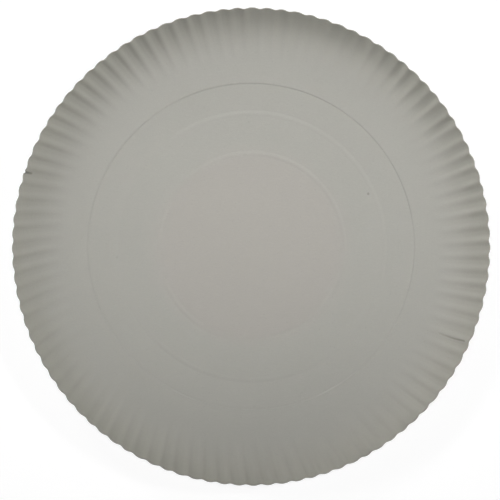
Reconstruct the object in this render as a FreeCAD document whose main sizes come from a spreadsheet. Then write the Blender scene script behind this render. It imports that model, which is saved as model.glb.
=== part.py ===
import FreeCAD, Part
import math
import os
import Sketcher
from FreeCAD import Placement, Rotation, Vector

# Round paper plate, pressed from one sheet, lying face up on its centre disc.
# Millimetres, +Z up. The origin is on the plate's axis, at the underside of the disc.

doc = FreeCAD.newDocument("paper_plate")

# Sizes that drive the plate, as a cross-section from the axis outwards.
DRIVING_SIZES = [
    ("centre_disc_diameter", "86.8", "flat disc in the middle, which the plate rests on"),
    ("inner_ring_width", "3.0", "low embossed ridge around the disc"),
    ("inner_ring_crown", "0.07", "height of that ridge"),
    ("middle_band_width", "16.2", "plain band between the two embossed ridges"),
    ("middle_band_slope", "2.0", "degrees, outward rise of that band"),
    ("outer_ring_width", "3.2", "second embossed ridge"),
    ("outer_ring_crown", "0.08", "height of that ridge"),
    ("outer_band_width", "12.6", "plain band out to the edge of the base"),
    ("outer_band_slope", "3.8", "degrees, outward rise of that band"),
    ("base_line_width", "0.7", "sharp line around the base"),
    ("base_line_rise", "0.3", "how far the face rises across that line"),
    ("wall_width", "10.4", "plain wall between the base and the flutes"),
    ("wall_slope", "6.0", "degrees, outward rise of the wall"),
    ("rim_width", "25.2", "fluted rim, from its first waves to the edge"),
    ("edge_slope", "50.0", "degrees, how steep the rim is at its edge"),
    ("rim_curl", "2.2", "power by which the rim steepens outwards"),
    ("sheet_thickness", "0.4", "pressed paper"),
    ("flute_count", "100", "flutes around the rim"),
    ("flute_depth", "0.9", "ridge to trough at the edge, square to the rim"),
    ("flute_growth", "1.2", "power by which the depth grows outwards"),
    ("ridge_sharpness", "1.4", "1 is an even wave, and more makes the ridges narrower"),
    ("first_ridge_angle", "1.32", "degrees from +X to the first ridge"),
]

# Radii and top-face heights worked out from them, each from the one before.
DERIVED_SIZES = [
    ("ring_one_foot", "=centre_disc_diameter / 2"),
    ("ring_one_middle", "=ring_one_foot + inner_ring_width / 2"),
    ("ring_one_end", "=ring_one_foot + inner_ring_width"),
    ("ring_two_foot", "=ring_one_end + middle_band_width"),
    ("ring_two_middle", "=ring_two_foot + outer_ring_width / 2"),
    ("ring_two_end", "=ring_two_foot + outer_ring_width"),
    ("base_line_inside", "=ring_two_end + outer_band_width"),
    ("base_line_outside", "=base_line_inside + base_line_width"),
    ("flute_start", "=base_line_outside + wall_width"),
    ("disc_height", "=sheet_thickness"),
    ("ring_one_height", "=disc_height + inner_ring_crown"),
    ("ring_two_base", "=disc_height + middle_band_width * tan(middle_band_slope)"),
    ("ring_two_height", "=ring_two_base + outer_ring_crown"),
    ("line_inside_height", "=ring_two_base + outer_band_width * tan(outer_band_slope)"),
    ("line_outside_height", "=line_inside_height + base_line_rise"),
    ("flute_start_height", "=line_outside_height + wall_width * tan(wall_slope)"),
]


def make_sheet():
    """The sizes, one to a row: its name, its value and what it measures."""
    sheet = doc.addObject("Spreadsheet::Sheet", "sizes")
    rows = DRIVING_SIZES + [(name, formula, "worked out") for name, formula in DERIVED_SIZES]
    for row, (name, value, meaning) in enumerate(rows, start=1):
        sheet.set(f"A{row}", name.replace("_", " "))
        sheet.set(f"B{row}", value)
        sheet.set(f"C{row}", meaning)
        sheet.setAlias(f"B{row}", name)
    doc.recompute()
    return sheet


sizes = make_sheet()


def size(name):
    return float(sizes.get(name))


# The base, out to the sharp line around it: one section, turned about the axis.

# Corners of the upper face from the axis outwards: radius and height.
UPPER_CORNERS = [
    ("ring_one_foot", "disc_height"),
    ("ring_one_middle", "ring_one_height"),
    ("ring_one_end", "disc_height"),
    ("ring_two_foot", "ring_two_base"),
    ("ring_two_middle", "ring_two_height"),
    ("ring_two_end", "ring_two_base"),
    ("base_line_inside", "line_inside_height"),
    ("base_line_outside", "line_outside_height"),
]


def section_corners():
    """Names and expressions of the section's corners, once around from the axis."""
    upper = [(radius, f"sizes.{radius}", f"sizes.{height}") for radius, height in UPPER_CORNERS]
    # The disc and the inner ring's outer foot stand on the table, so their undersides have no height.
    under = [
        (f"{radius}_under", f"sizes.{radius}",
         None if height == "disc_height" else f"sizes.{height} - sizes.sheet_thickness")
        for radius, height in UPPER_CORNERS[1:]
    ]
    disc_edge = ("disc_under", "sizes.ring_one_foot", None)
    return upper + under[::-1] + [disc_edge]


def origin_feature(body, role):
    for feature in body.Origin.OriginFeatures:
        if feature.Role == role:
            return feature
    raise ValueError(role)


def draw_section(body):
    """The closed section in the XZ plane, each corner tied to the sheet."""
    sketch = body.newObject("Sketcher::SketchObject", "base_section")
    sketch.AttachmentSupport = [(origin_feature(body, "XZ_Plane"), "")]
    sketch.MapMode = "FlatFace"
    corners = section_corners()
    upper = [Vector(size(radius), size(height), 0) for radius, height in UPPER_CORNERS]
    under = [point - Vector(0, size("sheet_thickness"), 0) for point in upper]
    points = [Vector(0, size("disc_height"), 0)] + upper + under[::-1] + [Vector(0, 0, 0)]
    count = len(points)
    for index, point in enumerate(points):
        sketch.addGeometry(Part.LineSegment(point, points[(index + 1) % count]), False)
    for index in range(count):
        sketch.addConstraint(Sketcher.Constraint("Coincident", index, 2, (index + 1) % count, 1))
    sketch.addConstraint(Sketcher.Constraint("Coincident", count - 1, 1, -1, 1))
    sketch.addConstraint(Sketcher.Constraint("PointOnObject", 0, 1, -2))
    centre = sketch.addConstraint(Sketcher.Constraint("DistanceY", -1, 1, 0, 1, points[0].y))
    sketch.renameConstraint(centre, "centre_height")
    sketch.setExpression("Constraints.centre_height", "sizes.disc_height")
    for index, (name, radius, height) in enumerate(corners, start=1):
        point = points[index]
        across = sketch.addConstraint(Sketcher.Constraint("DistanceX", -1, 1, index, 1, point.x))
        sketch.renameConstraint(across, f"{name}_radius")
        sketch.setExpression(f"Constraints.{name}_radius", radius)
        if height is None:
            sketch.addConstraint(Sketcher.Constraint("PointOnObject", index, 1, -1))
            continue
        up = sketch.addConstraint(Sketcher.Constraint("DistanceY", -1, 1, index, 1, point.y))
        sketch.renameConstraint(up, f"{name}_height")
        sketch.setExpression(f"Constraints.{name}_height", height)
    return sketch


def make_base():
    body = doc.addObject("PartDesign::Body", "pressed_base")
    sketch = draw_section(body)
    turned = body.newObject("PartDesign::Revolution", "turned_base")
    turned.Profile = sketch
    turned.ReferenceAxis = (sketch, ["V_Axis"])
    turned.Angle = 360.0
    return body


# The wall and the fluted rim: one flute's share of them, repeated around the axis.

# Rows of points across a flute, from the wall to the edge. Each row has as many segments as the
# one before it or twice as many, so the wave gets finer as it gets deeper.
SEGMENTS_IN_ROW = [1, 2, 4, 4, 4]
NORMAL_STEP = 1e-4
SEW_TOLERANCE = 1e-4


def round_point(radius, height, turn):
    """A point at a share, turn, of the way from one ridge to the next."""
    angle = 2 * math.pi * turn / size("flute_count")
    return Vector(radius * math.cos(angle), radius * math.sin(angle), height)


def upper_point(run, turn):
    """The upper face of the rim at run, 0 to 1 from the wall to the edge."""
    start = math.tan(math.radians(size("wall_slope")))
    gain = math.tan(math.radians(size("edge_slope"))) - start
    curl = size("rim_curl")
    curled = max(run, 0.0) ** curl
    out = run * size("rim_width")
    slope = math.atan(start + gain * curled)
    rise = out * (start + gain * curled / (curl + 1))
    wave = ((1 + math.cos(2 * math.pi * turn)) / 2) ** size("ridge_sharpness")
    lift = size("flute_depth") * max(run, 0.0) ** size("flute_growth") * wave
    radius = size("flute_start") + out - lift * math.sin(slope)
    return round_point(radius, size("flute_start_height") + rise + lift * math.cos(slope), turn)


def under_point(run, turn):
    """The underside, one thickness from the upper face and square to it."""
    along = upper_point(run + NORMAL_STEP, turn) - upper_point(run - NORMAL_STEP, turn)
    across = upper_point(run, turn + NORMAL_STEP) - upper_point(run, turn - NORMAL_STEP)
    return upper_point(run, turn) - along.cross(across).normalize() * size("sheet_thickness")


def facet(*corners):
    return Part.Face(Part.makePolygon([*corners, corners[0]]))


def wall_face(point, base_height):
    """The plain wall, from the round edge of the base to the rim's first row."""
    start = [round_point(size("base_line_outside"), base_height, turn) for turn in (0, 0.5, 1)]
    return Part.makeRuledSurface(Part.Arc(*start).toShape(), Part.makeLine(point(0, 0), point(0, 1)))


def band_faces(near, far):
    """The facets between two rows of points."""
    faces = []
    for index in range(len(near) - 1):
        start, end = near[index], near[index + 1]
        if len(far) > len(near):
            left, middle, right = far[2 * index : 2 * index + 3]
            faces += [facet(start, left, middle), facet(start, middle, end), facet(end, middle, right)]
            continue
        left, right = far[index], far[index + 1]
        if index < (len(near) - 1) / 2:
            faces += [facet(start, left, right), facet(start, right, end)]
        else:
            faces += [facet(start, left, end), facet(left, right, end)]
    return faces


def side_faces(point, base_height):
    """One side of the sheet along one flute."""
    rows = []
    for row, segments in enumerate(SEGMENTS_IN_ROW):
        run = row / (len(SEGMENTS_IN_ROW) - 1)
        rows.append([point(run, column / segments) for column in range(segments + 1)])
    faces = [wall_face(point, base_height)]
    for near, far in zip(rows, rows[1:]):
        faces += band_faces(near, far)
    return faces


def edge_faces():
    """The sheet's cut edge along one flute."""
    turns = [column / SEGMENTS_IN_ROW[-1] for column in range(SEGMENTS_IN_ROW[-1] + 1)]
    above = [upper_point(1, turn) for turn in turns]
    below = [under_point(1, turn) for turn in turns]
    return band_faces(above, below)


def rim_faces():
    base_height = size("line_outside_height")
    one_flute = side_faces(upper_point, base_height)
    one_flute += side_faces(under_point, base_height - size("sheet_thickness"))
    one_flute += edge_faces()
    count = int(round(size("flute_count")))
    faces = []
    for flute in range(count):
        angle = size("first_ridge_angle") + 360.0 * flute / count
        turned = Placement(Vector(0, 0, 0), Rotation(Vector(0, 0, 1), angle))
        for face in one_flute:
            copy = face.copy()
            copy.Placement = turned
            faces.append(copy)
    return faces


def base_faces(body):
    """The base's faces without its end face, which lies inside the sheet where the wall goes on."""
    inside = size("base_line_outside") - SEW_TOLERANCE
    return [
        face
        for face in body.Shape.Faces
        if min(math.hypot(corner.X, corner.Y) for corner in face.Vertexes) < inside
    ]


def make_plate(body):
    plate = doc.addObject("Part::Feature", "plate")
    plate.Label = "plate"
    skin = Part.Compound(base_faces(body) + rim_faces())
    skin.sewShape(SEW_TOLERANCE)
    solid = Part.makeSolid(skin.Shells[0])
    if solid.Volume < 0:
        solid.reverse()
    plate.Shape = solid
    return plate


base = make_base()
doc.recompute()
plate = make_plate(base)
doc.recompute()

# Checks, then the file.

SUBPARTS = [plate]

for item in doc.Objects:
    if "Invalid" in item.State or "Error" in item.State:
        raise RuntimeError(f"{item.Name} failed: {item.State}")

os.makedirs("parts", exist_ok=True)
for item in SUBPARTS:
    shape = item.Shape
    if shape.isNull() or not shape.isValid() or len(shape.Solids) != 1:
        raise RuntimeError(f"{item.Label} is not one valid solid")
    shape.exportStep(f"parts/{item.Label}.step")
    box = shape.BoundBox
    print(item.Label, "solids", len(shape.Solids), "faces", len(shape.Faces), "volume", round(shape.Volume, 1))
    print("from", round(box.XMin, 2), round(box.YMin, 2), round(box.ZMin, 3))
    print("to", round(box.XMax, 2), round(box.YMax, 2), round(box.ZMax, 3))
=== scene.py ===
"""A round paper plate with two pressed rings and a fluted rim, on a pale floor under soft studio light."""
import math

import bpy
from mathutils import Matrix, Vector


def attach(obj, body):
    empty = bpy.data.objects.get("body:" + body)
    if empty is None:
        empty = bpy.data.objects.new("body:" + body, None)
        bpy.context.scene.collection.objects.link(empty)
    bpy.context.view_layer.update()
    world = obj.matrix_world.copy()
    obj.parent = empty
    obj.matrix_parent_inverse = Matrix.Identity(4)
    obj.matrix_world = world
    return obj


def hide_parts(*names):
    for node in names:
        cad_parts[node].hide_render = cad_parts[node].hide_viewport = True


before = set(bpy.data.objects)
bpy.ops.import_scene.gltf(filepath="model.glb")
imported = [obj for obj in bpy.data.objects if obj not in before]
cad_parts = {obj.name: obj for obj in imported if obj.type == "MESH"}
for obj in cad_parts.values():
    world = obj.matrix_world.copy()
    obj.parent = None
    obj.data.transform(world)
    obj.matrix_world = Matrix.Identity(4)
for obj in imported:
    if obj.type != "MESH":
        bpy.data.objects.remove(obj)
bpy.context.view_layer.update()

MILLIMETRE = 0.001
FULL_TURN = 2 * math.pi

# The plate's sizes, the same as in the part's source, in millimetres and degrees. The rim is a hair
# narrower, so that its smooth edge stays inside the source's faceted one.
PLATE_SIZES = [
    ("Centre Disc Diameter", 86.8),
    ("Inner Ring Width", 3.0),
    ("Inner Ring Crown", 0.07),
    ("Middle Band Width", 16.2),
    ("Middle Band Slope", 2.0),
    ("Outer Ring Width", 3.2),
    ("Outer Ring Crown", 0.08),
    ("Outer Band Width", 12.6),
    ("Outer Band Slope", 3.8),
    ("Base Line Width", 0.7),
    ("Base Line Rise", 0.3),
    ("Wall Width", 10.4),
    ("Wall Slope", 6.0),
    ("Rim Width", 25.13),
    ("Edge Slope", 50.0),
    ("Rim Curl", 2.2),
    ("Sheet Thickness", 0.4),
    ("Flute Count", 100),
    ("Flute Depth", 0.9),
    ("Flute Growth", 1.2),
    ("Ridge Sharpness", 1.4),
    ("First Ridge Angle", 1.32),
    ("Depth Variation", 0.05),
    ("Ridge Wander", 0.06),
    ("Ridge Lean", 1.57),
    ("Lean Variation", 1.37),
    ("Least Lean Side", 50.0),
    ("Crease Depth", 0.12),
    ("Nick Depth", 0.8),
]
HAND_OF_THE_PRESS = 7      # seed of the small differences between flutes

# The marks of wear, in millimetres from the plate's middle. The crease runs along one flute, and the nick
# is in the cut edge. A fleck is (across, up the picture, width, how dark).
CREASE = ((90.8, -42.0), (97.9, -44.4), (102.4, -45.4))
NICK = ((-105.8, 35.2), (-109.9, 36.1))
FLECKS = [
    (56.5, 25.5, 1.5, 0.27),
    (-64.7, -5.2, 1.3, 0.08),
    (-1.2, 60.2, 1.1, 0.06),
    (1.6, -77.1, 1.3, 0.06),
]

# The board's warm grey-white: a little greener outside the disc, and yellower where the rim was pressed.
DISC_COLOUR = (0.402, 0.386, 0.352, 1.0)
BAND_COLOUR = (0.395, 0.388, 0.351, 1.0)
RIM_COLOUR = (0.396, 0.388, 0.342, 1.0)

# How finely the sheet is divided: points round the base, points to each flute, and rows of each band from
# the middle out, on the face and underneath.
BASE_POINTS_AROUND = 200
POINTS_A_FLUTE = 18
FACE_ROWS = [16, 9, 8, 9, 8, 5, 8]
UNDER_ROWS = [6, 4, 4, 4, 4, 3, 4]
RIM_FACE_ROWS = 22
RIM_UNDER_ROWS = 11

# Points closer than this, in metres, are joined where two bands meet. Sharper edges than the angle, in
# degrees, stay crisp.
JOINED_WITHIN = 2e-6
CRISP_ANGLE = 50

# Some nodes have several sockets of one name, so these are known by their place.
RANDOM_LOWEST = 2
RANDOM_HIGHEST = 3
RANDOM_RESULT = 1
MIX_FIRST_COLOUR = 6
MIX_SECOND_COLOUR = 7
MIX_COLOUR_RESULT = 2


class Number:
    """A value that a node tree works out, so that a rule for a shape reads as it would on paper."""

    def __init__(self, tree, socket):
        self.tree = tree
        self.socket = socket

    def __add__(self, other):
        return maths(self.tree, "ADD", self, other)

    __radd__ = __add__

    def __sub__(self, other):
        return maths(self.tree, "SUBTRACT", self, other)

    def __rsub__(self, other):
        return maths(self.tree, "SUBTRACT", other, self)

    def __mul__(self, other):
        return maths(self.tree, "MULTIPLY", self, other)

    __rmul__ = __mul__

    def __truediv__(self, other):
        return maths(self.tree, "DIVIDE", self, other)

    def __rtruediv__(self, other):
        return maths(self.tree, "DIVIDE", other, self)

    def __pow__(self, other):
        return maths(self.tree, "POWER", self, other)


def feed(tree, socket, value):
    """Links a worked-out value to a socket, or sets the socket to a plain one."""
    if isinstance(value, Number):
        tree.links.new(value.socket, socket)
    else:
        socket.default_value = value


def add_node(tree, kind, settings=None, **inputs):
    """Adds a node, with its settings, and feeds the inputs that are named with underscores for spaces."""
    node = tree.nodes.new(kind)
    for name, value in (settings or {}).items():
        setattr(node, name, value)
    for name, value in inputs.items():
        feed(tree, node.inputs[name.replace("_", " ")], value)
    return node


def maths(tree, operation, *values):
    """One step of arithmetic as a Math node."""
    node = add_node(tree, "ShaderNodeMath", {"operation": operation})
    for socket, value in zip(node.inputs, values):
        feed(tree, socket, value)
    return Number(tree, node.outputs["Value"])


def ramp(tree, value, start, end, rise, kind="LINEAR"):
    """Nothing before the start, the whole rise after the end, and straight or eased between them."""
    node = add_node(tree, "ShaderNodeMapRange", {"interpolation_type": kind, "clamp": True},
                    Value=value, From_Min=start, From_Max=end, To_Min=0.0, To_Max=rise)
    return Number(tree, node.outputs["Result"])


def vector(tree, x, y, z):
    """Three values as one vector."""
    node = add_node(tree, "ShaderNodeCombineXYZ", X=x, Y=y, Z=z)
    return Number(tree, node.outputs["Vector"])


def parts_of(tree, socket):
    """The three values of a vector."""
    node = tree.nodes.new("ShaderNodeSeparateXYZ")
    tree.links.new(socket, node.inputs["Vector"])
    return [Number(tree, output) for output in node.outputs]


def near_line(tree, across, up, start, end, half_width):
    """1 on the straight line between two points, easing to 0 at half_width away."""
    run_across = end[0] - start[0]
    run_up = end[1] - start[1]
    length_squared = run_across ** 2 + run_up ** 2
    from_start_across = across - start[0]
    from_start_up = up - start[1]
    along = (from_start_across * run_across + from_start_up * run_up) / length_squared
    along = maths(tree, "MINIMUM", maths(tree, "MAXIMUM", along, 0.0), 1.0)
    away_across = from_start_across - along * run_across
    away_up = from_start_up - along * run_up
    away = maths(tree, "SQRT", away_across * away_across + away_up * away_up)
    return 1 - ramp(tree, away, 0.0, half_width, 1.0, "SMOOTHSTEP")


def near_crease(tree, across, up, half_width):
    """1 on the crease, which bends once on its way out."""
    inner = near_line(tree, across, up, CREASE[0], CREASE[1], half_width)
    outer = near_line(tree, across, up, CREASE[1], CREASE[2], half_width)
    return maths(tree, "MAXIMUM", inner, outer)


# The plate

def sheet_bands(tree, size):
    """The sheet's section as a list of bands: from the middle out over the face, then back underneath.

    A band is (start radius, start depth, end radius, end depth, rows, points around)."""
    radii = [0.0, size["Centre Disc Diameter"] / 2]
    for width in ("Inner Ring Width", "Middle Band Width", "Outer Ring Width", "Outer Band Width",
                  "Base Line Width", "Wall Width"):
        radii.append(radii[-1] + size[width])
    flute_start = radii[-1]
    edge = flute_start + size["Rim Width"]
    rim_points = POINTS_A_FLUTE * round(dict(PLATE_SIZES)["Flute Count"])
    under = size["Sheet Thickness"] * -1
    face = [(radii[i], 0.0, radii[i + 1], 0.0, rows, BASE_POINTS_AROUND)
            for i, rows in enumerate(FACE_ROWS)]
    rim = [(flute_start, 0.0, edge, 0.0, RIM_FACE_ROWS, rim_points),
           (edge, 0.0, edge, under, 1, rim_points),
           (edge, under, flute_start, under, RIM_UNDER_ROWS, rim_points)]
    back = [(radii[i + 1], under, radii[i], under, rows, BASE_POINTS_AROUND)
            for i, rows in enumerate(UNDER_ROWS)]
    return face + rim + back, radii


def laid_out_sheet(tree, bands):
    """Every band as a grid whose points hold (radius, share of a turn, depth in the sheet)."""
    here = tree.nodes.new("GeometryNodeInputPosition").outputs["Position"]
    grid_x, grid_y, _ = parts_of(tree, here)
    across = grid_x + 0.5
    turn = grid_y + 0.5
    joined = tree.nodes.new("GeometryNodeJoinGeometry")
    for start_radius, start_depth, end_radius, end_depth, rows, points_around in bands:
        grid = add_node(tree, "GeometryNodeMeshGrid", Size_X=1.0, Size_Y=1.0,
                        Vertices_X=rows + 1, Vertices_Y=points_around + 1)
        radius = across * (end_radius - start_radius) + start_radius
        depth = across * (end_depth - start_depth) + start_depth
        laid = add_node(tree, "GeometryNodeSetPosition", Position=vector(tree, radius, turn, depth))
        tree.links.new(grid.outputs["Mesh"], laid.inputs["Geometry"])
        tree.links.new(laid.outputs["Geometry"], joined.inputs["Geometry"])
    return joined.outputs["Geometry"]


def base_height(tree, size, radii, radius):
    """Height of the upper face inside the rim: the rings are low ridges, and the bands rise evenly.

    A form's place is the number of the radius where it starts, and it ends at the next one."""
    height = size["Sheet Thickness"]
    for name, place in (("Inner Ring Crown", 1), ("Outer Ring Crown", 3)):
        middle = (radii[place] + radii[place + 1]) / 2
        climb = ramp(tree, radius, radii[place], middle, size[name], "SMOOTHSTEP")
        fall = ramp(tree, radius, middle, radii[place + 1], size[name], "SMOOTHSTEP")
        height = height + climb - fall
    line = 5
    height = height + ramp(tree, radius, radii[line], radii[line + 1], size["Base Line Rise"], "SMOOTHSTEP")
    slopes = [("Middle Band Slope", 2), ("Outer Band Slope", 4), ("Wall Slope", 6)]
    for name, place in slopes:
        run = radii[place + 1] - radii[place]
        slope = maths(tree, "TANGENT", maths(tree, "RADIANS", size[name]))
        height = height + ramp(tree, radius, radii[place], radii[place + 1], run * slope)
    return height


def pressed_sheet(tree, geometry, size, radii):
    """Turns the laid-out sheet into the plate.

    The rule is the source's. The ridges' lean, the differences between flutes and the wear come on top."""
    wall_start, flute_start = radii[-2:]
    here = tree.nodes.new("GeometryNodeInputPosition").outputs["Position"]
    radius, turn, depth = parts_of(tree, here)

    # Inside the rim every point is on one of the base's rays, so that the bands share their points.
    hair = 0.001
    on_ray = maths(tree, "ROUND", turn * BASE_POINTS_AROUND) / BASE_POINTS_AROUND
    inside = maths(tree, "LESS_THAN", radius, flute_start + hair)
    turn = turn + inside * (on_ray - turn)

    out = maths(tree, "MAXIMUM", radius - flute_start, 0.0)
    run = out / size["Rim Width"]

    # The ridges lean on their way out, more at one side of the plate than at the other. At level_run, as a
    # share of the rim's width, they are where the source has them.
    level_run = 0.6
    leaning = size["Ridge Lean"] - size["Lean Variation"] * maths(
        tree, "COSINE", turn * FULL_TURN - maths(tree, "RADIANS", size["Least Lean Side"]))
    first_ridge = size["First Ridge Angle"] + (run - level_run) * leaning

    # Which flute the point is in, and how far from that flute's ridge, as a share of a flute.
    place = (turn - first_ridge / 360) * size["Flute Count"]
    flute = maths(tree, "ROUND", place)
    off_ridge = place - flute
    flute_number = maths(tree, "FLOORED_MODULO", flute, size["Flute Count"])

    def differs(seed):
        """A number from -1 to 1 that is the same all over one flute."""
        node = add_node(tree, "FunctionNodeRandomValue", {"data_type": "FLOAT"})
        feed(tree, node.inputs[RANDOM_LOWEST], -1.0)
        feed(tree, node.inputs[RANDOM_HIGHEST], 1.0)
        tree.links.new(flute_number.socket, node.inputs["ID"])
        feed(tree, node.inputs["Seed"], seed)
        return Number(tree, node.outputs[RANDOM_RESULT])

    # The wander fades to nothing at the troughs, where two flutes meet.
    near_ridge = 1 - (off_ridge * 2) ** 2
    wander = differs(HAND_OF_THE_PRESS) * size["Ridge Wander"] * near_ridge
    wave = ((maths(tree, "COSINE", (off_ridge + wander) * FULL_TURN) + 1) / 2) ** size["Ridge Sharpness"]

    # The rim steepens from the wall's slope to the edge's, and the flutes stand square to it.
    start = maths(tree, "TANGENT", maths(tree, "RADIANS", size["Wall Slope"]))
    gain = maths(tree, "TANGENT", maths(tree, "RADIANS", size["Edge Slope"])) - start
    curled = run ** size["Rim Curl"]
    slope = start + gain * curled
    rise = out * (start + gain * curled / (size["Rim Curl"] + 1))
    cosine = 1 / maths(tree, "SQRT", slope * slope + 1)
    sine = slope * cosine
    deep = size["Flute Depth"] * (differs(HAND_OF_THE_PRESS + 1) * size["Depth Variation"] + 1)
    lift = deep * run ** size["Flute Growth"] * wave + depth
    past_wall = ramp(tree, radius, wall_start, flute_start, 1.0, "SMOOTHSTEP")
    final_radius = radius - lift * sine * past_wall
    final_height = base_height(tree, size, radii, radius) + rise + lift * (1 + past_wall * (cosine - 1))

    # The crease is a shallow fold downwards, and at the nick the cut edge is pushed in.
    angle = turn * FULL_TURN
    cosine_of_turn = maths(tree, "COSINE", angle)
    sine_of_turn = maths(tree, "SINE", angle)
    across = final_radius * cosine_of_turn
    up = final_radius * sine_of_turn
    fold_half_width = 1.1
    final_height = final_height - near_crease(tree, across, up, fold_half_width) * size["Crease Depth"]
    nick_half_width = 0.9
    nick_run = 0.93
    at_edge = ramp(tree, run, nick_run, 1.0, 1.0, "SMOOTHSTEP")
    nick = near_line(tree, across, up, NICK[0], NICK[1], nick_half_width) * at_edge
    final_radius = final_radius - nick * size["Nick Depth"]
    place_now = vector(tree, final_radius * cosine_of_turn * MILLIMETRE,
                       final_radius * sine_of_turn * MILLIMETRE, final_height * MILLIMETRE)
    pressed = add_node(tree, "GeometryNodeSetPosition", Position=place_now)
    tree.links.new(geometry, pressed.inputs["Geometry"])
    return pressed.outputs["Geometry"]


def plate_tree(paper):
    """The node tree that makes the plate, and the identifiers of its inputs by name."""
    tree = bpy.data.node_groups.new("pressed_plate", "GeometryNodeTree")
    tree.interface.new_socket("Geometry", in_out="OUTPUT", socket_type="NodeSocketGeometry")
    identifiers = {}
    for name, value in PLATE_SIZES:
        socket = tree.interface.new_socket(name, in_out="INPUT", socket_type="NodeSocketFloat")
        identifiers[name] = socket.identifier
    group_input = tree.nodes.new("NodeGroupInput")
    size = {name: Number(tree, group_input.outputs[name]) for name, _ in PLATE_SIZES}
    bands, radii = sheet_bands(tree, size)
    geometry = pressed_sheet(tree, laid_out_sheet(tree, bands), size, radii)

    closed = add_node(tree, "GeometryNodeMergeByDistance", Distance=JOINED_WITHIN)
    tree.links.new(geometry, closed.inputs["Geometry"])

    # The cut edge stays crisp, and the rest of the sheet is smooth.
    bend = tree.nodes.new("GeometryNodeInputMeshEdgeAngle").outputs["Unsigned Angle"]
    soft_edge = maths(tree, "LESS_THAN", Number(tree, bend), math.radians(CRISP_ANGLE))
    smooth = add_node(tree, "GeometryNodeSetShadeSmooth", {"domain": "EDGE"})
    tree.links.new(closed.outputs["Geometry"], smooth.inputs["Geometry"])
    tree.links.new(soft_edge.socket, smooth.inputs["Shade Smooth"])

    realized = tree.nodes.new("GeometryNodeRealizeInstances")
    dressed = add_node(tree, "GeometryNodeSetMaterial", Material=paper)
    group_output = tree.nodes.new("NodeGroupOutput")
    tree.links.new(smooth.outputs["Geometry"], realized.inputs["Geometry"])
    tree.links.new(realized.outputs["Geometry"], dressed.inputs["Geometry"])
    tree.links.new(dressed.outputs["Geometry"], group_output.inputs["Geometry"])
    return tree, identifiers


def make_plate(paper):
    """The plate as one plain mesh, made by the node tree."""
    tree, identifiers = plate_tree(paper)
    maker = bpy.data.objects.new("plate_maker", bpy.data.meshes.new("plate_start"))
    bpy.context.scene.collection.objects.link(maker)
    modifier = maker.modifiers.new("pressed_plate", "NODES")
    modifier.node_group = tree
    for name, value in PLATE_SIZES:
        modifier[identifiers[name]] = float(value)
    evaluated = maker.evaluated_get(bpy.context.evaluated_depsgraph_get())
    mesh = bpy.data.meshes.new_from_object(evaluated)
    mesh.name = "fluted_plate"
    mesh.materials.clear()
    mesh.materials.append(paper)
    mesh.polygons.foreach_set("material_index", [0] * len(mesh.polygons))
    maker.modifiers.remove(modifier)
    bpy.data.objects.remove(maker)
    plate = bpy.data.objects.new("fluted_plate", mesh)
    bpy.context.scene.collection.objects.link(plate)
    return plate


# The paper

# Sizes of the paper's marks, in millimetres. Each row of fibres is (way they lie in degrees, length,
# thickness, share of the sheet). The fibres' bend and ease are in the noise's own units.
CLOUD_SIZE = 7.0
GRAIN_SIZE = 0.5
PIT_SIZE = 0.9
FIBRE_LAYERS = [
    (17.0, 1.9, 0.16, 0.42),
    (74.0, 1.5, 0.13, 0.41),
    (138.0, 1.7, 0.15, 0.41),
]
FIBRE_BEND = 0.35
FIBRE_EASE = 0.1
PIT_NOISE = (0.68, 0.76)       # noise below the first has no pit, and above the second a whole one

# How much lighter or darker each makes the paper, as a share of its colour.
CLOUD_TONE = 0.03
GRAIN_TONE = 0.06
FIBRE_TONE = 0.028
PIT_TONE = 0.05

# Painted shade along the line around the base: its radius, how dark, and how far from its middle the dark
# starts and stops fading.
LINE_RADIUS = 78.9
LINE_PAINTED_SHADE = 0.01
LINE_FADE = (0.15, 0.7)

# The painted shade in the crease and the nick: half widths, how dark, and the radii between which each gets
# darker.
CREASE_HALF_WIDTH = 0.7
CREASE_PAINTED_SHADE = 0.07
CREASE_END_PAINTED_SHADE = 0.28
CREASE_END = (101.0, 110.0)
NICK_HALF_WIDTH = 1.0
NICK_DARK = 0.6
NICK_END = (108.0, 113.5)

# A fleck is whole out to the first share of its width, and gone at the second.
FLECK_FADE = (0.2, 0.6)

# The radii between which the disc's colour turns into the bands', and the bands' into the rim's.
DISC_TO_BAND = (40.0, 52.0)
BAND_TO_RIM = (90.0, 113.0)

# Roughness, and how much the clouds take from it and the grain and pits add.
PAPER_ROUGHNESS = 0.84
CLOUD_SMOOTHNESS = 0.12
GRAIN_ROUGHNESS = 0.1
PIT_ROUGHNESS = 0.05
PAPER_SHINE = 0.35

# How far each stands up from the sheet, or goes into it, in millimetres.
FIBRE_HEIGHT = 0.010
GRAIN_HEIGHT = 0.016
CLOUD_HEIGHT = 0.05
PIT_DEPTH = 0.012
CREASE_GROOVE = 0.05


def noise(tree, place, size, detail=2.0, roughness=0.5, distortion=0.0):
    """Noise whose lumps are about as large as the size, from 0 to 1 and mostly near a half."""
    node = add_node(tree, "ShaderNodeTexNoise", {"noise_dimensions": "3D"}, Vector=place, Scale=1 / size,
                    Detail=detail, Roughness=roughness, Distortion=distortion)
    return Number(tree, node.outputs["Fac"])


def fibres(tree, place, angle, length, thickness, share):
    """1 on short fibres that lie mostly one way, and 0 between them. The share is how many there are."""
    turned = add_node(tree, "ShaderNodeMapping", Vector=place, Rotation=(0.0, 0.0, math.radians(angle)),
                      Scale=(1 / length, 1 / thickness, 1 / thickness))
    wavy = noise(tree, Number(tree, turned.outputs["Vector"]), 1.0, detail=1.0, distortion=FIBRE_BEND)
    start = 1 - share
    return ramp(tree, wavy, start, start + FIBRE_EASE, 1.0, "SMOOTHSTEP")


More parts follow.
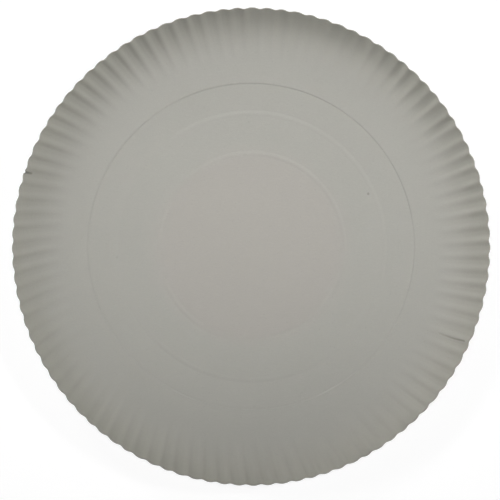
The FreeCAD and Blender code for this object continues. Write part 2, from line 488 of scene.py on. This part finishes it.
def blended(tree, share, first, second):
    """One colour turning into another as the share goes from 0 to 1."""
    node = add_node(tree, "ShaderNodeMix", {"data_type": "RGBA"})
    feed(tree, node.inputs["Factor"], share)
    feed(tree, node.inputs[MIX_FIRST_COLOUR], first)
    feed(tree, node.inputs[MIX_SECOND_COLOUR], second)
    return Number(tree, node.outputs[MIX_COLOUR_RESULT])


def flecks(tree, across, up):
    """How much darker each fleck of dirt makes the paper."""
    whole_to, gone_at = FLECK_FADE
    dark = 0.0
    for fleck_across, fleck_up, width, strength in FLECKS:
        off_across = across - fleck_across
        off_up = up - fleck_up
        away = maths(tree, "SQRT", off_across * off_across + off_up * off_up)
        fleck = strength - ramp(tree, away, width * whole_to, width * gone_at, strength, "SMOOTHSTEP")
        dark = dark + fleck
    return dark


def paper_material():
    """Uncoated board: a warm grey-white, matte, with fibres, clouds of pulp, flecks of dirt, and painted
    shade along the base line, in the crease and in the nick.
    """
    material = bpy.data.materials.new("uncoated_paper")
    material.use_nodes = True
    tree = material.node_tree
    shader = tree.nodes["Principled BSDF"]
    in_metres = tree.nodes.new("ShaderNodeTexCoord").outputs["Object"]
    scaled = add_node(tree, "ShaderNodeVectorMath", {"operation": "SCALE"},
                      Vector=Number(tree, in_metres), Scale=1 / MILLIMETRE)
    place = Number(tree, scaled.outputs["Vector"])
    across, up, _ = parts_of(tree, place.socket)
    radius = maths(tree, "SQRT", across * across + up * up)

    # The pulp: clouds where the sheet is thicker, and three layers of fibres that cross each other. The
    # clouds and the grain go as far up as down.
    clouds = noise(tree, place, CLOUD_SIZE, detail=3.0, roughness=0.6) - 0.5
    grain = noise(tree, place, GRAIN_SIZE, detail=3.0, roughness=0.65) - 0.5
    lying = [fibres(tree, place, *layer) for layer in FIBRE_LAYERS]
    crossing = lying[0] + lying[1] + lying[2]
    pits = ramp(tree, noise(tree, place, PIT_SIZE, detail=1.0), *PIT_NOISE, 1.0, "SMOOTHSTEP")

    # Painted shade: the paper is a little darker along the line around the base, as the step there shades
    # it.
    off_line = maths(tree, "ABSOLUTE", radius - LINE_RADIUS)
    painted_line_shade = LINE_PAINTED_SHADE - ramp(tree, off_line, *LINE_FADE, LINE_PAINTED_SHADE, "SMOOTHSTEP")

    # Painted shade in the crease and the nick, darkest towards their outer ends.
    crease = near_crease(tree, across, up, CREASE_HALF_WIDTH)
    outer_end = ramp(tree, radius, *CREASE_END, 1.0)
    crease_painted_shade = crease * (CREASE_PAINTED_SHADE + outer_end * CREASE_END_PAINTED_SHADE)
    # Painted shade in the nick, getting darker towards the cut edge.
    in_nick = near_line(tree, across, up, NICK[0], NICK[1], NICK_HALF_WIDTH)
    nick_dark = in_nick * ramp(tree, radius, *NICK_END, NICK_DARK)

    # The tone takes off the painted shade of the base line, the crease and the nick, and the dirt of the
    # flecks.
    tone = (1 + clouds * CLOUD_TONE + grain * GRAIN_TONE + crossing * FIBRE_TONE - pits * PIT_TONE
            - painted_line_shade - crease_painted_shade - nick_dark - flecks(tree, across, up))
    out_of_disc = ramp(tree, radius, *DISC_TO_BAND, 1.0, "SMOOTHSTEP")
    into_rim = ramp(tree, radius, *BAND_TO_RIM, 1.0, "SMOOTHSTEP")
    colour = blended(tree, out_of_disc, DISC_COLOUR, BAND_COLOUR)
    colour = blended(tree, into_rim, colour, RIM_COLOUR)
    coloured = add_node(tree, "ShaderNodeVectorMath", {"operation": "SCALE"}, Vector=colour, Scale=tone)
    tree.links.new(coloured.outputs["Vector"], shader.inputs["Base Color"])

    # Matte, and a little smoother where the pulp is thick and the die pressed it hardest.
    feed(tree, shader.inputs["Roughness"],
         PAPER_ROUGHNESS - clouds * CLOUD_SMOOTHNESS + grain * GRAIN_ROUGHNESS + pits * PIT_ROUGHNESS)
    shader.inputs["Specular IOR Level"].default_value = PAPER_SHINE

    # The surface: fibres stand up about a hundredth of a millimetre, and pits and the crease go in.
    height = (crossing * FIBRE_HEIGHT + grain * GRAIN_HEIGHT + clouds * CLOUD_HEIGHT
              - pits * PIT_DEPTH - crease * CREASE_GROOVE)
    bump = add_node(tree, "ShaderNodeBump", Strength=1.0, Distance=MILLIMETRE, Height=height)
    tree.links.new(bump.outputs["Normal"], shader.inputs["Normal"])
    return material


# The studio

# How bright the sky is, and each lamp's name, azimuth, elevation, power, aim, size, distance and beam.
# Angles are in degrees, lengths in metres and power in watts.
SKY = 0.052
SOFT_BOXES = [
    ("right_box", 12.2, 39.0, 0.188, (0.0092, 0.052), 0.29, 1.2, 13.6),
    ("left_box", 166.0, 31.0, 0.228, (0.05, 0.08), 0.39, 1.2, 18.0),
    ("near_box", 225.0, 42.0, 17.0, (0.0, 0.0), 1.6, 4.0, 180.0),
    ("far_box", 118.6, 32.9, 0.138, (0.0, 0.07), 0.42, 1.5, 17.0),
    ("top_box", 0.0, 90.0, 0.021, (0.0, 0.06), 0.30, 1.2, 14.0),
]

# The floor: half its width and how far it lies below the plate, in metres, and its colours. Light that
# bounces meets the plain one. The camera sees the dim one, which takes the shadow, with the glow added.
FLOOR_HALF_WIDTH = 4.0
FLOOR_DROP = 0.0001
FLOOR_COLOUR = (0.8, 0.8, 0.8, 1.0)
SHADOW_COLOUR = (0.15, 0.15, 0.15, 1.0)
WHITE = (1.0, 1.0, 1.0, 1.0)
FLOOR_GLOW = 0.92

# The camera: where it stands, the width that the picture shows at the rim's height, all in metres, and
# the sensor's width in millimetres.
CAMERA_PLACE = (-0.00054, -0.00166, 3.0)
RIM_HEIGHT = 0.015
PICTURE_WIDTH = 0.2401
SENSOR_WIDTH = 36.0
FARTHEST_SEEN = 20.0


def soft_box(name, azimuth, elevation, power, aim, size, distance, beam):
    """A square lamp that faces a point on the plate. Azimuth 0 is the picture's right and 90 its top.

    A beam narrower than 180 degrees is a soft box with a grid, which lights the side of its aim most."""
    lamp = bpy.data.lights.new(name, "AREA")
    lamp.size = size
    lamp.energy = power
    lamp.spread = math.radians(beam)
    around = math.radians(azimuth)
    raised = math.radians(elevation)
    away = Vector((math.cos(raised) * math.cos(around), math.cos(raised) * math.sin(around),
                   math.sin(raised)))
    holder = bpy.data.objects.new(name, lamp)
    holder.location = Vector((aim[0], aim[1], 0.0)) + away * distance
    holder.rotation_euler = (-away).to_track_quat("-Z", "Y").to_euler()
    holder.visible_camera = False
    bpy.context.scene.collection.objects.link(holder)


def seen_directly(tree):
    """1 where a ray comes from the camera, or by way of a mirror or glass, and 0 for light that bounces."""
    path = tree.nodes.new("ShaderNodeLightPath")
    seen = Number(tree, path.outputs["Is Camera Ray"])
    for name in ("Is Glossy Ray", "Is Transmission Ray"):
        seen = maths(tree, "MAXIMUM", seen, Number(tree, path.outputs[name]))
    return seen


def make_world(level):
    """White to look at, and a plain even light on the plate."""
    world = bpy.data.worlds.new("studio")
    bpy.context.scene.world = world
    world.use_nodes = True
    tree = world.node_tree
    background = tree.nodes["Background"]
    background.inputs["Color"].default_value = WHITE
    seen = seen_directly(tree)
    feed(tree, background.inputs["Strength"], seen * (1 - level) + level)


def make_floor():
    """A pale floor that shows as white and still takes the plate's shadow."""
    half = FLOOR_HALF_WIDTH
    low = -FLOOR_DROP
    mesh = bpy.data.meshes.new("floor")
    corners = [(-half, -half, low), (half, -half, low), (half, half, low), (-half, half, low)]
    mesh.from_pydata(corners, [], [(0, 1, 2, 3)])
    floor = bpy.data.objects.new("floor", mesh)
    bpy.context.scene.collection.objects.link(floor)
    material = bpy.data.materials.new("pale_floor")
    material.use_nodes = True
    tree = material.node_tree
    tree.nodes.clear()
    plain = add_node(tree, "ShaderNodeBsdfDiffuse", Color=FLOOR_COLOUR)
    shaded = add_node(tree, "ShaderNodeBsdfDiffuse", Color=SHADOW_COLOUR)
    glow = add_node(tree, "ShaderNodeEmission", Color=WHITE, Strength=FLOOR_GLOW)
    white = tree.nodes.new("ShaderNodeAddShader")
    tree.links.new(shaded.outputs["BSDF"], white.inputs[0])
    tree.links.new(glow.outputs["Emission"], white.inputs[1])
    chosen = tree.nodes.new("ShaderNodeMixShader")
    feed(tree, chosen.inputs["Fac"], seen_directly(tree))
    tree.links.new(plain.outputs["BSDF"], chosen.inputs[1])
    tree.links.new(white.outputs["Shader"], chosen.inputs[2])
    output = tree.nodes.new("ShaderNodeOutputMaterial")
    tree.links.new(chosen.outputs["Shader"], output.inputs["Surface"])
    mesh.materials.append(material)
    return floor


def make_camera():
    """Looks straight down, with the plate's middle where the photograph has it."""
    camera = bpy.data.cameras.new("camera")
    camera.sensor_width = SENSOR_WIDTH
    camera.lens = SENSOR_WIDTH * (CAMERA_PLACE[2] - RIM_HEIGHT) / PICTURE_WIDTH
    camera.clip_end = FARTHEST_SEEN
    holder = bpy.data.objects.new("camera", camera)
    holder.location = CAMERA_PLACE
    bpy.context.scene.collection.objects.link(holder)
    bpy.context.scene.camera = holder


plate = make_plate(paper_material())
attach(plate, "root")
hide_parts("plate")
make_floor()

make_world(SKY)
for lamp_facts in SOFT_BOXES:
    soft_box(*lamp_facts)
make_camera()

bpy.context.scene.view_settings.view_transform = "Standard"
